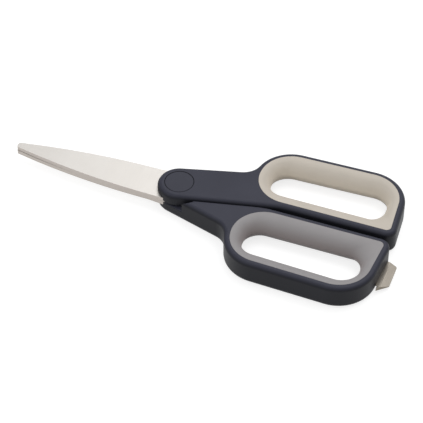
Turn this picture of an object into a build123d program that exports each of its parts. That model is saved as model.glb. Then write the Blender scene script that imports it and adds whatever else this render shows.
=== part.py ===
from build123d import *
from math import asin, atan2, cos, degrees, hypot, radians, sin, sqrt, tan
import os

# Kitchen shears, closed and lying flat. Two halves of one shape cross at a pivot: the upper half, and the same
# half turned over about the long axis. Each half is a stamped blade whose tang is moulded into a handle, and
# the handle's finger loop is lined with a soft grip. The lower handle also holds a small opener blade.
# +X runs from the pivot to the finger loops, +Y to the upper half's loop and +Z up. The origin is on the pivot
# axis, at the height of the surface that the shears lie on.

# Handle
handle_thickness = 14.6
head_radius = 12.1
arm_far_angle = 15.6
arm_near_angle = 13.2
half_gap = 1.3
loop_start = 33.7
loop_start_lean = 4.8
loop_end = 123.6
loop_end_lean = 3.5
loop_width_head = 43.6
loop_width_tail = 45.9
loop_corner_share = 0.495
loop_inner_corner = 6.0
neck_blend = 11.0
bend_blend = 45.0
top_rounding = 2.7
bottom_rounding = 2.4
underside_rounding = 0.6
block_gap = 0.7
step_gap = 4.0
plastic_gap = 0.25
mould_gap = 0.03

# Soft grip
rim_width = 3.3
grip_start_inset = 9.3
grip_end_inset = 8.3
grip_near_inset = 9.4
grip_far_inset = 8.6
opening_corner_share = 0.45
key_height = 3.0
key_depth = 1.0
# How far inwards the grip's face has come, and how far down, from the loop's edge to the waist
inward_shares = (0.05, 0.42, 0.72, 0.92, 1.0)
downward_shares = (0.0, 0.09, 0.32, 0.66, 1.0)

# Blade
blade_thickness = 2.5
blade_gap = 0.05
blade_reach = 98.5
blade_half_width = 10.7
edge_half_width = 9.9
bow_start = 7.0
edge_start = 15.0
spine_tip_half_width = 1.5
edge_tip_half_width = 1.8
tip_rounding = 1.0
heel_blend = 2.0
bevel_width = 0.9
edge_land = 0.3
tang_angle = 14.4
tang_reach = 40.0
tang_half_width = 6.5
tang_end_half_width = 4.5
tang_corner = 3.0
tang_hole_radius = 2.0
tang_hole_first = 20.0
tang_hole_pitch = 11.0

# Pivot
bolt_radius = 3.0
bolt_fit = 0.05
neck_radius = 3.6
neck_flat = 2.8
bolt_head_radius = 5.4
bolt_head_height = 1.7
socket_across = 3.0
socket_depth = 1.0
thread_radius = 2.4
nut_radius = 5.0
nut_height = 1.7
nut_slot_width = 1.0
nut_slot_depth = 0.5
seat_gap = 0.02
bolt_head_edge = 0.3
washer_radius = 4.6
washer_thickness = 0.3
washer_play = 0.05
well_radius = 6.2
cap_radius = 8.0
cap_thickness = 1.6
cap_groove = 0.3
cap_edge = 0.25

# Opener blade in the end of the lower handle
opener_level = 1.9
opener_thickness = 2.0
opener_reach = 5.1
opener_root_near = 7.3
opener_root_far = 28.4
opener_tip_near = 8.4
opener_tip_far = 23.2
opener_corner = 1.0
opener_flat = 1.1
opener_land = 0.4
opener_tang = 6.2
opener_tang_near = 10.0
opener_tang_far = 25.0
opener_slip = 0.9

overrun = 2.0

mid_height = handle_thickness / 2
blade_bottom = mid_height + blade_gap
blade_top = blade_bottom + blade_thickness
blade_seat = handle_thickness - blade_top
underside = mid_height + plastic_gap
loop_corner = loop_corner_share * min(loop_width_head, loop_width_tail)
turn_over_axis = Axis((0, 0, mid_height), (1, 0, 0))


def turned_over(part):
    """The lower half's copy of a piece of the upper half."""
    return part.rotate(turn_over_axis, 180)


def vertex_near(vertices, x, y):
    return vertices.sort_by_distance((x, y, 0))[0]


def along_arm(reach, side, angle=tang_angle):
    """A point that far along a line from the pivot at that angle, and that far to its left."""
    a = radians(angle)
    return (reach * cos(a) - side * sin(a), reach * sin(a) + side * cos(a))


# The finger loop's outer outline, a rounded quadrilateral that widens towards its end
loop_corners = [
    (loop_start, half_gap),
    (loop_end, half_gap),
    (loop_end - loop_end_lean, half_gap + loop_width_tail),
    (loop_start + loop_start_lean, half_gap + loop_width_head),
]
loop_radii = [loop_corner, loop_inner_corner, loop_corner, loop_corner]

# The waist of the grip, which is the opening that the fingers go through
opening_corners = [
    (loop_start + rim_width + grip_start_inset, half_gap + rim_width + grip_near_inset),
    (loop_end - rim_width - grip_end_inset, half_gap + rim_width + grip_near_inset),
    (
        loop_end - rim_width - grip_end_inset,
        half_gap + loop_width_tail - rim_width - grip_far_inset,
    ),
    (
        loop_start + rim_width + grip_start_inset,
        half_gap + loop_width_head - rim_width - grip_far_inset,
    ),
]
opening_height_head = opening_corners[3][1] - opening_corners[0][1]
opening_height_tail = opening_corners[2][1] - opening_corners[1][1]
opening_radii = [
    opening_corner_share * height
    for height in (opening_height_head, opening_height_tail, opening_height_tail, opening_height_head)
]


def rounded(corners, radii):
    """A face with those corners, each rounded by its own radius."""
    with BuildSketch() as face:
        with BuildLine():
            Polyline(*corners, close=True)
        make_face()
        for (x, y), radius in zip(corners, radii):
            fillet(vertex_near(face.vertices(), x, y), radius)
    return face.sketch


def inset_corners(corners, amount):
    """The corners of the quadrilateral whose sides lie that far inside the given one's."""
    moved = []
    count = len(corners)
    for i in range(count):
        (ax, ay), (bx, by), (cx, cy) = corners[i - 1], corners[i], corners[(i + 1) % count]
        first, second = hypot(bx - ax, by - ay), hypot(cx - bx, cy - by)
        ux, uy = (bx - ax) / first, (by - ay) / first
        vx, vy = (cx - bx) / second, (cy - by) / second
        turn = ux * vy - uy * vx
        moved.append((bx + amount * (vx - ux) / turn, by + amount * (vy - uy) / turn))
    return moved


grip_corners = inset_corners(loop_corners, rim_width)
grip_radii = [radius - rim_width for radius in loop_radii]


def grip_section(share):
    """The grip's inner outline, that share of the way from the loop's edge to the waist."""
    corners = [
        (gx + share * (ox - gx), gy + share * (oy - gy))
        for (gx, gy), (ox, oy) in zip(grip_corners, opening_corners)
    ]
    radii = [g + share * (o - g) for g, o in zip(grip_radii, opening_radii)]
    return rounded(corners, radii)


# Where the arm's sides leave the round head
far_tangent = (-head_radius * sin(radians(arm_far_angle)), head_radius * cos(radians(arm_far_angle)))
near_tangent = (head_radius * sin(radians(arm_near_angle)), -head_radius * cos(radians(arm_near_angle)))
near_slope = tan(radians(arm_near_angle))
bend_x = near_tangent[0] + (half_gap - near_tangent[1]) / near_slope

# The hollow curve from the arm into the loop touches both, so its centre follows from them
corner_centre = inset_corners(loop_corners, loop_corner)[3]
arm_angle = radians(arm_far_angle)
corner_reach = corner_centre[0] * cos(arm_angle) + corner_centre[1] * sin(arm_angle)
corner_side = corner_centre[1] * cos(arm_angle) - corner_centre[0] * sin(arm_angle)
neck_side = head_radius + neck_blend
neck_reach = corner_reach - sqrt((loop_corner + neck_blend) ** 2 - (neck_side - corner_side) ** 2)
neck_centre = along_arm(neck_reach, neck_side, arm_far_angle)
neck_on_arm = along_arm(neck_reach, head_radius, arm_far_angle)
neck_on_loop = tuple(
    c + (n - c) * loop_corner / (loop_corner + neck_blend) for c, n in zip(corner_centre, neck_centre)
)

# Plan of the upper layer: head, arm and finger loop in one outline
with BuildSketch() as upper_plan:
    add(rounded(loop_corners, loop_radii))
    Circle(head_radius)
    with BuildLine():
        Polyline(
            near_tangent,
            (bend_x, half_gap),
            corner_centre,
            neck_on_loop,
            neck_centre,
            neck_on_arm,
            far_tangent,
            close=True,
        )
    make_face()
    with Locations(neck_centre):
        Circle(neck_blend, mode=Mode.SUBTRACT)
    fillet(vertex_near(upper_plan.vertices(), bend_x, half_gap), bend_blend)

# Plan of the lower layer: the loop and a wedge of the arm, clear of the other half's head and arm
block_distance = head_radius + block_gap
step_radius = head_radius + step_gap
block_rise = block_distance / cos(radians(arm_near_angle))
block_end_x = (block_rise - half_gap) / near_slope
with BuildSketch() as lower_plan:
    add(upper_plan.sketch)
    with BuildLine():
        Polyline(
            (-head_radius - overrun, -head_radius - overrun),
            (bend_x + bend_blend, -head_radius - overrun),
            (bend_x + bend_blend, half_gap),
            (block_end_x, half_gap),
            (-head_radius - overrun, block_rise + (head_radius + overrun) * near_slope),
            close=True,
        )
    make_face(mode=Mode.SUBTRACT)
    Circle(step_radius, mode=Mode.SUBTRACT)
    fillet(vertex_near(lower_plan.vertices(), block_end_x, half_gap), bend_blend)

# Blade of the upper half: point, ricasso, pivot eye and tang in one stamping
spine_rise = blade_half_width - spine_tip_half_width
edge_run = blade_reach - edge_start
edge_rise = edge_half_width - edge_tip_half_width
edge_bow_radius = (edge_run**2 + edge_rise**2) / (2 * edge_rise)
with BuildSketch(Plane.XY.offset(blade_bottom)) as blade_plan:
    with BuildLine():
        spine = TangentArc(
            (-bow_start, -blade_half_width),
            (-blade_reach, -spine_tip_half_width),
            tangent=(-1, 0),
        )
        point = Line(spine @ 1, (-blade_reach, edge_tip_half_width))
        edge = TangentArc((-edge_start, edge_half_width), point @ 1, tangent=(-1, 0))
        heel = Line(edge @ 0, (-bow_start, blade_half_width))
        back = Polyline(heel @ 1, (0, blade_half_width), (0, -blade_half_width), spine @ 0)
    make_face()
    Circle(blade_half_width)
    with BuildLine():
        Polyline(
            along_arm(0, -tang_half_width),
            along_arm(tang_reach, -tang_end_half_width),
            along_arm(tang_reach, tang_end_half_width),
            along_arm(0, tang_half_width),
            close=True,
        )
    make_face()
    for side in (-tang_end_half_width, tang_end_half_width):
        fillet(vertex_near(blade_plan.vertices(), *along_arm(tang_reach, side)), tang_corner)
    for half_width in (-spine_tip_half_width, edge_tip_half_width):
        fillet(vertex_near(blade_plan.vertices(), -blade_reach, half_width), tip_rounding)
    for x, y in ((-edge_start, edge_half_width), (-bow_start, blade_half_width)):
        fillet(vertex_near(blade_plan.vertices(), x, y), heel_blend)
    with Locations(*[along_arm(tang_hole_first + i * tang_hole_pitch, 0) for i in range(2)]):
        Circle(tang_hole_radius, mode=Mode.SUBTRACT)

bevel_start_angle = degrees(asin(overrun / edge_bow_radius))
bevel_sweep_angle = degrees(asin((edge_run + overrun) / edge_bow_radius))
bevel_plane = Plane(
    origin=(-edge_start, edge_half_width - edge_bow_radius, 0), x_dir=(0, 1, 0), z_dir=(1, 0, 0)
).rotated((0, bevel_start_angle, 0))
with BuildPart() as bevel_tool:
    with BuildSketch(bevel_plane):
        with BuildLine():
            Polyline(
                (edge_bow_radius - bevel_width, blade_top),
                (edge_bow_radius, blade_bottom + edge_land),
                (edge_bow_radius + overrun, blade_bottom + edge_land),
                (edge_bow_radius + overrun, blade_top + overrun),
                (edge_bow_radius - bevel_width, blade_top + overrun),
                close=True,
            )
        make_face()
    revolve(
        axis=Axis((-edge_start, edge_half_width - edge_bow_radius, 0), (0, 0, 1)),
        revolution_arc=bevel_sweep_angle,
    )

with BuildPart() as blade_blank:
    with BuildSketch(Plane.XY.offset(blade_bottom)):
        add(blade_plan.sketch)
    extrude(amount=blade_thickness)
    add(bevel_tool.part, mode=Mode.SUBTRACT)

with BuildPart() as tang_pocket:
    with BuildSketch(Plane.XY.offset(blade_bottom - mould_gap)):
        offset(blade_plan.sketch, mould_gap)
    extrude(amount=blade_thickness + 2 * mould_gap)

# Grip, with a key round its waist that the handle's groove holds
with BuildPart() as finger_hole:
    for inward, downward in zip(inward_shares, downward_shares):
        with BuildSketch(Plane.XY.offset(handle_thickness - downward * mid_height)):
            add(grip_section(inward))
    loft()
    mirror(about=Plane.XY.offset(mid_height))

with BuildPart() as grip_blank:
    with BuildSketch(Plane.XY):
        add(rounded(inset_corners(loop_corners, rim_width + mould_gap), grip_radii))
    extrude(amount=handle_thickness)
    with BuildSketch(Plane.XY.offset(mid_height - key_height / 2)):
        add(rounded(inset_corners(loop_corners, rim_width - key_depth), grip_radii))
    extrude(amount=key_height)
    add(finger_hole.part, mode=Mode.SUBTRACT)

with BuildPart() as key_groove:
    with BuildSketch(Plane.XY.offset(mid_height - key_height / 2 - mould_gap)):
        add(rounded(inset_corners(loop_corners, rim_width - key_depth - mould_gap), grip_radii))
    extrude(amount=key_height + 2 * mould_gap)

# Handle: the upper layer's underside is eased all round, then the lower layer closes it under the loop
with BuildPart() as handle_blank:
    with BuildSketch(Plane.XY.offset(underside)):
        add(upper_plan.sketch)
    extrude(amount=handle_thickness - underside)
    fillet(handle_blank.faces().sort_by(Axis.Z)[0].outer_wire().edges(), underside_rounding)
    fillet(handle_blank.faces().sort_by(Axis.Z)[-1].outer_wire().edges(), top_rounding)

with BuildPart() as lower_block:
    with BuildSketch(Plane.XY):
        add(lower_plan.sketch)
    extrude(amount=underside + underside_rounding)
    fillet(lower_block.faces().sort_by(Axis.Z)[0].outer_wire().edges(), bottom_rounding)

with BuildPart() as handle_core:
    add(handle_blank.part)
    add(lower_block.part)
    with BuildSketch(Plane.XY):
        add(rounded(grip_corners, grip_radii))
    extrude(amount=handle_thickness, mode=Mode.SUBTRACT)
    add(key_groove.part, mode=Mode.SUBTRACT)
    add(tang_pocket.part, mode=Mode.SUBTRACT)
    with BuildSketch(Plane.XY.offset(blade_bottom)):
        Circle(well_radius)
    extrude(amount=handle_thickness - blade_bottom, mode=Mode.SUBTRACT)
    with BuildSketch(Plane.XY.offset(handle_thickness - cap_thickness)):
        Circle(cap_radius + cap_groove)
    extrude(amount=cap_thickness, mode=Mode.SUBTRACT)

with BuildPart() as cap_blank:
    with BuildSketch(Plane.XY.offset(handle_thickness - cap_thickness)):
        Circle(cap_radius)
    extrude(amount=cap_thickness)
    fillet(cap_blank.faces().sort_by(Axis.Z)[-1].outer_wire().edges(), cap_edge)

# Upper half
with BuildPart() as upper_handle:
    add(handle_core.part)

with BuildPart() as upper_grip:
    add(grip_blank.part)

with BuildPart() as upper_blade:
    add(blade_blank.part)
    with BuildSketch(Plane.XY.offset(blade_bottom)):
        Circle(bolt_radius + bolt_fit)
    extrude(amount=blade_thickness, mode=Mode.SUBTRACT)

with BuildPart() as upper_pivot_cap:
    add(cap_blank.part)

# Lower half: the same pieces turned over, with a pocket for the opener and a flatted hole for the bolt
opener_bottom = opener_level
opener_top = opener_level + opener_thickness
opener_wall = loop_end - opener_slip

with BuildPart() as opener_blade:
    with BuildSketch(Plane.XY.offset(opener_bottom)) as opener_plan:
        with BuildLine():
            Polyline(
                (opener_wall, -opener_root_near),
                (loop_end + opener_reach, -opener_tip_near),
                (loop_end + opener_reach, -opener_tip_far),
                (opener_wall, -opener_root_far),
                close=True,
            )
        make_face()
        for side in (-opener_tip_near, -opener_tip_far):
            fillet(vertex_near(opener_plan.vertices(), loop_end + opener_reach, side), opener_corner)
        with BuildLine():
            Polyline(
                (loop_end - opener_tang, -opener_tang_near),
                (opener_wall + opener_slip, -opener_tang_near),
                (opener_wall + opener_slip, -opener_tang_far),
                (loop_end - opener_tang, -opener_tang_far),
                close=True,
            )
        make_face()
    extrude(amount=opener_thickness)
    with BuildSketch(Plane.XZ.offset(opener_root_near - overrun)):
        with BuildLine():
            Polyline(
                (loop_end + opener_flat, opener_top),
                (loop_end + opener_reach, opener_bottom + opener_land),
                (loop_end + opener_reach + overrun, opener_bottom + opener_land),
                (loop_end + opener_reach + overrun, opener_top + overrun),
                (loop_end + opener_flat, opener_top + overrun),
                close=True,
            )
        make_face()
    extrude(amount=opener_root_far - opener_root_near + 2 * overrun, mode=Mode.SUBTRACT)

with BuildPart() as opener_pocket:
    with BuildSketch(Plane.XY.offset(opener_bottom - mould_gap)):
        offset(opener_plan.sketch, mould_gap)
    extrude(amount=opener_thickness + 2 * mould_gap)

with BuildPart() as lower_handle:
    add(turned_over(handle_core.part))
    add(opener_pocket.part, mode=Mode.SUBTRACT)

with BuildPart() as lower_grip:
    add(turned_over(grip_blank.part))
    add(opener_pocket.part, mode=Mode.SUBTRACT)

with BuildPart() as lower_blade:
    add(turned_over(blade_blank.part))
    with BuildSketch(Plane.XY.offset(blade_seat)):
        Circle(neck_radius + mould_gap)
        Rectangle(2 * head_radius, 2 * (neck_flat + mould_gap), mode=Mode.INTERSECT)
    extrude(amount=blade_thickness, mode=Mode.SUBTRACT)

with BuildPart() as lower_pivot_cap:
    add(turned_over(cap_blank.part))

# Pivot: a bolt held against turning by flats in the lower blade, a journal for the upper one, a washer and a nut
bolt_seat = blade_seat - seat_gap
journal_top = blade_top + washer_play
washer_top = journal_top + washer_thickness
nut_bottom = washer_top + seat_gap
nut_top = nut_bottom + nut_height

with BuildPart() as pivot_bolt:
    with BuildSketch(Plane.XY.offset(bolt_seat)):
        Circle(bolt_head_radius)
    extrude(amount=-bolt_head_height)
    chamfer(pivot_bolt.faces().sort_by(Axis.Z)[0].outer_wire().edges(), bolt_head_edge)
    with BuildSketch(Plane.XY.offset(bolt_seat)):
        Circle(neck_radius)
        Rectangle(2 * head_radius, 2 * neck_flat, mode=Mode.INTERSECT)
    extrude(amount=mid_height - bolt_seat)
    with BuildSketch(Plane.XY.offset(mid_height)):
        Circle(bolt_radius)
    extrude(amount=journal_top - mid_height)
    with BuildSketch(Plane.XY.offset(journal_top)):
        Circle(thread_radius)
    extrude(amount=nut_top - journal_top)
    with BuildSketch(Plane.XY.offset(bolt_seat - bolt_head_height)):
        RegularPolygon(socket_across / 2, 6, major_radius=False)
    extrude(amount=socket_depth, mode=Mode.SUBTRACT)

with BuildPart() as spring_washer:
    with BuildSketch(Plane.XY.offset(journal_top)):
        Circle(washer_radius)
        Circle(thread_radius + bolt_fit, mode=Mode.SUBTRACT)
    extrude(amount=washer_thickness)

with BuildPart() as pivot_nut:
    with BuildSketch(Plane.XY.offset(nut_bottom)):
        Circle(nut_radius)
        Circle(thread_radius + bolt_fit, mode=Mode.SUBTRACT)
    extrude(amount=nut_height)
    with BuildSketch(Plane.XY.offset(nut_top)):
        Rectangle(2 * nut_radius, nut_slot_width)
    extrude(amount=-nut_slot_depth, mode=Mode.SUBTRACT)

# Named pieces
upper_handle.part.label = "upper_handle"
lower_handle.part.label = "lower_handle"
upper_grip.part.label = "upper_grip"
lower_grip.part.label = "lower_grip"
upper_blade.part.label = "upper_blade"
lower_blade.part.label = "lower_blade"
upper_pivot_cap.part.label = "upper_pivot_cap"
lower_pivot_cap.part.label = "lower_pivot_cap"
pivot_bolt.part.label = "pivot_bolt"
pivot_nut.part.label = "pivot_nut"
spring_washer.part.label = "spring_washer"
opener_blade.part.label = "opener_blade"

os.makedirs("parts", exist_ok=True)
export_step(upper_handle.part, "parts/upper_handle.step")
export_step(lower_handle.part, "parts/lower_handle.step")
export_step(upper_grip.part, "parts/upper_grip.step")
export_step(lower_grip.part, "parts/lower_grip.step")
export_step(upper_blade.part, "parts/upper_blade.step")
export_step(lower_blade.part, "parts/lower_blade.step")
export_step(upper_pivot_cap.part, "parts/upper_pivot_cap.step")
export_step(lower_pivot_cap.part, "parts/lower_pivot_cap.step")
export_step(pivot_bolt.part, "parts/pivot_bolt.step")
export_step(pivot_nut.part, "parts/pivot_nut.step")
export_step(spring_washer.part, "parts/spring_washer.step")
export_step(opener_blade.part, "parts/opener_blade.step")
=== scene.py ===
import bpy
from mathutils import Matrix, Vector

# Kitchen shears, closed and lying flat. The solids of the frame are the finished shapes, so this
# file gives each of them its material, and adds the floor, the light and the camera.

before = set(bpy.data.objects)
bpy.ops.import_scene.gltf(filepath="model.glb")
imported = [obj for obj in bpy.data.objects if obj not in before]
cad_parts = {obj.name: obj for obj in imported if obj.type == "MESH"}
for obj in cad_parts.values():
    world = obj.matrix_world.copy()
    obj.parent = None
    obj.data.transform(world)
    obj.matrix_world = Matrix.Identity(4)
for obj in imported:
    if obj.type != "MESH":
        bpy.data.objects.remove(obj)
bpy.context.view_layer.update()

MM = 0.001
WHITE = (1, 1, 1, 1)

# Patterns. The picture shows nothing finer than this, so what is finer is drawn as coarse.
VISIBLE = 0.35 * MM
PLASTIC_CLOUD = 18 * MM
PLASTIC_GRAIN = VISIBLE  # about 0.08 mm on the real mould
PLASTIC_GRAIN_DEPTH = 0.05 * MM
RUBBER_CLOUD = 12 * MM
RUBBER_PIT = 1.4 * VISIBLE  # about 0.1 mm on the real mould
RUBBER_PIT_DEPTH = 0.04 * MM
STEEL_CLOUD = 25 * MM
SCRATCH_WIDTH = 0.5 * MM
SCRATCH_DEPTH = 0.02 * MM
BLADE_SCRATCH = 14 * MM
OPENER_SCRATCH = 9 * MM
PIVOT_SCRATCH = 2 * MM

FLOOR_SIZE = 6.0
FLOOR_DROP = 0.2 * MM  # keeps the floor off the rest face
FLOOR_GREY = "#a8a8a8"
FLOOR_GLOW = 0.76
WORLD_LIGHT = 0.5
LAMP_AIM = (0.01, 0, 0)

SENSOR_WIDTH = 36
LENS = 153.19
CAMERA_PLACE = (0.2671, -0.6579, 0.7123)
CAMERA_DIRECTION = (-0.24747, 0.65629, -0.71277)


def linear(hex_colour):
    """An sRGB hex colour as linear red, green, blue and alpha."""
    parts = [int(hex_colour[i:i + 2], 16) / 255 for i in (1, 3, 5)]
    return [p / 12.92 if p <= 0.04045 else ((p + 0.055) / 1.055) ** 2.4 for p in parts] + [1.0]


def link(material, output, socket):
    material.node_tree.links.new(output, socket)


def node(material, kind, settings=None, **links):
    """Add a node, set its properties and inputs, and link the inputs that are given as outputs."""
    added = material.node_tree.nodes.new(kind)
    for name, value in (settings or {}).items():
        if name in added.inputs:
            added.inputs[name].default_value = value
        else:
            setattr(added, name, value)
    for name, output in links.items():
        link(material, output, added.inputs[name])
    return added


def new_material(name, **sockets):
    """A material with a Principled shader, and the sockets of that shader."""
    material = bpy.data.materials.new(name)
    material.use_nodes = True
    shader = material.node_tree.nodes["Principled BSDF"].inputs
    for socket, value in sockets.items():
        shader[socket.replace("_", " ")].default_value = value
    return material, shader


def object_space(material):
    return node(material, "ShaderNodeTexCoord").outputs["Object"]


def two_tone(material, factor, first, second):
    """A colour that goes from the first hex colour to the second with the factor."""
    ramp = node(material, "ShaderNodeValToRGB", Fac=factor)
    ramp.color_ramp.elements[0].color = linear(first)
    ramp.color_ramp.elements[1].color = linear(second)
    return ramp.outputs["Color"]


def spread(material, factor, low, high):
    """A number that goes from low to high with the factor."""
    limits = {"To Min": low, "To Max": high}
    return node(material, "ShaderNodeMapRange", limits, Value=factor).outputs["Result"]


def relief(material, height, strength, depth):
    """A normal that follows the height, that deep at its full strength."""
    settings = {"Strength": strength, "Distance": depth}
    return node(material, "ShaderNodeBump", settings, Height=height).outputs["Normal"]


def by_level(material, side, top, steep=0.3, level=0.9):
    """A colour that is the first hex colour on upright faces, and the second colour on level ones."""
    normal = node(material, "ShaderNodeTexCoord").outputs["Normal"]
    height = node(material, "ShaderNodeSeparateXYZ", Vector=normal).outputs["Z"]
    size = node(material, "ShaderNodeMath", {"operation": "ABSOLUTE"}, Value=height).outputs["Value"]
    flat = node(material, "ShaderNodeMapRange", {"From Min": steep, "From Max": level}, Value=size)
    # The node's colour sockets share their names with its number sockets, so they go by number
    colour = node(material, "ShaderNodeMix", {"data_type": "RGBA"})
    colour.inputs[6].default_value = linear(side)
    link(material, flat.outputs["Result"], colour.inputs[0])
    link(material, top, colour.inputs[7])
    return colour.outputs[2]


def moulded_plastic(name, dark, light, shaded_wall):
    """Glass-filled nylon from a spark-eroded mould: an even fine grain that breaks up the
    highlights, and painted shade: a darker colour on the upright walls."""
    material, shader = new_material(name, Specular_IOR_Level=0.17, IOR=1.5)
    place = object_space(material)
    cloud = node(material, "ShaderNodeTexNoise", {"Scale": 1 / PLASTIC_CLOUD, "Detail": 3.0}, Vector=place)
    grain = node(material, "ShaderNodeTexNoise", {"Scale": 1 / PLASTIC_GRAIN, "Detail": 2.0}, Vector=place)
    face = two_tone(material, cloud.outputs["Fac"], dark, light)
    # painted shade: the upright walls take the darker wall colour
    link(material, by_level(material, shaded_wall, face), shader["Base Color"])
    link(material, spread(material, grain.outputs["Fac"], 0.36, 0.54), shader["Roughness"])
    bump = relief(material, grain.outputs["Fac"], 0.14, PLASTIC_GRAIN_DEPTH)
    link(material, bump, shader["Normal"])
    return material


def soft_grip(name, dark, light, painted_light_wall):
    """Thermoplastic rubber moulded into the handle from a sandblasted mould: matt, dry and
    faintly mottled. The upright walls of the finger hole get a lighter, warmer colour, which is painted
    light."""
    material, shader = new_material(
        name, Specular_IOR_Level=0.35, IOR=1.5, Sheen_Weight=0.08, Sheen_Roughness=0.5
    )
    place = object_space(material)
    cloud = node(material, "ShaderNodeTexNoise", {"Scale": 1 / RUBBER_CLOUD, "Detail": 4.0}, Vector=place)
    pits = node(material, "ShaderNodeTexVoronoi", {"Scale": 1 / RUBBER_PIT}, Vector=place)
    face = two_tone(material, cloud.outputs["Fac"], dark, light)
    # painted light: the upright walls of the finger hole take the lighter, warmer colour
    link(material, by_level(material, painted_light_wall, face, steep=0.15, level=0.85), shader["Base Color"])
    link(material, spread(material, cloud.outputs["Fac"], 0.56, 0.7), shader["Roughness"])
    bump = relief(material, pits.outputs["Distance"], 0.1, RUBBER_PIT_DEPTH)
    link(material, bump, shader["Normal"])
    return material


def ground_steel(name, dark, light, shaded_side, along, across, roughness):
    """Stainless steel ground by a belt: fine scratches one way that stretch the highlights, and painted
    shade: a darker colour on the upright edges. The scratches are that wide along x and that long across
    it."""
    material, shader = new_material(name, Metallic=1.0)
    place = object_space(material)
    scale = {"Scale": (1 / along, 1 / across, 1 / across)}
    stretched = node(material, "ShaderNodeMapping", scale, Vector=place).outputs["Vector"]
    scratches = node(material, "ShaderNodeTexNoise", {"Scale": 1.0, "Detail": 3.0}, Vector=stretched)
    cloud = node(material, "ShaderNodeTexNoise", {"Scale": 1 / STEEL_CLOUD, "Detail": 2.0}, Vector=place)
    face = two_tone(material, cloud.outputs["Fac"], dark, light)
    # painted shade: the upright edges take the darker side colour
    link(material, by_level(material, shaded_side, face), shader["Base Color"])
    sheen = spread(material, scratches.outputs["Fac"], roughness - 0.07, roughness + 0.08)
    link(material, sheen, shader["Roughness"])
    bump = relief(material, scratches.outputs["Fac"], 0.08, SCRATCH_DEPTH)
    link(material, bump, shader["Normal"])
    return material


# The last colour of each nylon is painted shade for its upright walls.
handle_nylon = moulded_plastic("handle_nylon", "#33343f", "#3a3b47", "#212228")
cap_nylon = moulded_plastic("cap_nylon", "#34353f", "#3b3c47", "#212228")
# The last colour of each grip is painted light for the walls of its finger hole.
light_rubber = soft_grip("light_grip_rubber", "#bcb5aa", "#c7beb3", "#e3d9ca")
grey_rubber = soft_grip("grey_grip_rubber", "#8d8a8b", "#989596", "#9b9291")
# Belt marks run across the blades and the opener. The pivot's pieces are turned, with no one way.
# The third colour of each steel is painted shade for its upright edges.
blade_steel = ground_steel(
    "blade_steel", "#c7c3be", "#d0cdc9", "#b7b0aa", SCRATCH_WIDTH, BLADE_SCRATCH, roughness=0.42
)
opener_steel = ground_steel(
    "opener_steel", "#837d75", "#8c867d", "#7c756b", SCRATCH_WIDTH, OPENER_SCRATCH, roughness=0.3
)
pivot_steel = ground_steel(
    "pivot_steel", "#a9a7a3", "#b6b4b0", "#a09e9a", PIVOT_SCRATCH, PIVOT_SCRATCH, roughness=0.28
)

finish = {
    "upper_handle": handle_nylon,
    "lower_handle": handle_nylon,
    "upper_grip": light_rubber,
    "lower_grip": grey_rubber,
    "upper_blade": blade_steel,
    "lower_blade": blade_steel,
    "upper_pivot_cap": cap_nylon,
    "lower_pivot_cap": cap_nylon,
    "pivot_bolt": pivot_steel,
    "pivot_nut": pivot_steel,
    "spring_washer": pivot_steel,
    "opener_blade": opener_steel,
}
for name, material in finish.items():
    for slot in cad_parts[name].material_slots:
        slot.material = material

# Floor: white to the eye and in reflections, with a soft shadow, and a pale grey to the light
# that it throws back
bpy.ops.mesh.primitive_plane_add(size=FLOOR_SIZE, location=(0, 0, -FLOOR_DROP))
floor = bpy.context.active_object
floor.name = "floor"
floor_card, floor_shader = new_material(
    "floor_card", Base_Color=linear(FLOOR_GREY), Roughness=0.9, Specular_IOR_Level=0.0, Emission_Color=WHITE
)
ray = node(floor_card, "ShaderNodeLightPath").outputs
seen = node(floor_card, "ShaderNodeMath", {"operation": "MAXIMUM"}, Value=ray["Is Camera Ray"])
link(floor_card, ray["Is Glossy Ray"], seen.inputs[1])
lit = node(floor_card, "ShaderNodeMath", {"operation": "MAXIMUM"}, Value=seen.outputs["Value"])
link(floor_card, ray["Is Transmission Ray"], lit.inputs[1])
glow = node(floor_card, "ShaderNodeMath", {"operation": "MULTIPLY"}, Value=lit.outputs["Value"])
glow.inputs[1].default_value = FLOOR_GLOW
link(floor_card, glow.outputs["Value"], floor_shader["Emission Strength"])
floor.data.materials.append(floor_card)


def facing(direction):
    """The rotation that turns a lamp or camera to look that way."""
    return Vector(direction).to_track_quat("-Z", "Y").to_euler()


def lamp(name, place, size, power):
    """A soft square lamp aimed at the shears."""
    light = bpy.data.lights.new(name, "AREA")
    light.shape = "SQUARE"
    light.size = size
    light.energy = power
    holder = bpy.data.objects.new(name, light)
    bpy.context.scene.collection.objects.link(holder)
    holder.location = place
    holder.rotation_euler = facing(Vector(LAMP_AIM) - Vector(place))


lamp("key", (0.2, 0.95, 1.9), size=2.2, power=29.0)
lamp("fill", (-0.8, -1.0, 1.2), size=1.2, power=5.0)

world = bpy.data.worlds.new("studio")
world.use_nodes = True
background = world.node_tree.nodes["Background"].inputs
background["Color"].default_value = WHITE
background["Strength"].default_value = WORLD_LIGHT

# Camera, at the photograph's angle and distance
camera_data = bpy.data.cameras.new("camera")
camera_data.sensor_width = SENSOR_WIDTH
camera_data.lens = LENS
camera = bpy.data.objects.new("camera", camera_data)
camera.location = CAMERA_PLACE
camera.rotation_euler = facing(CAMERA_DIRECTION)

scene = bpy.context.scene
scene.collection.objects.link(camera)
scene.camera = camera
scene.world = world
scene.view_settings.view_transform = "Standard"
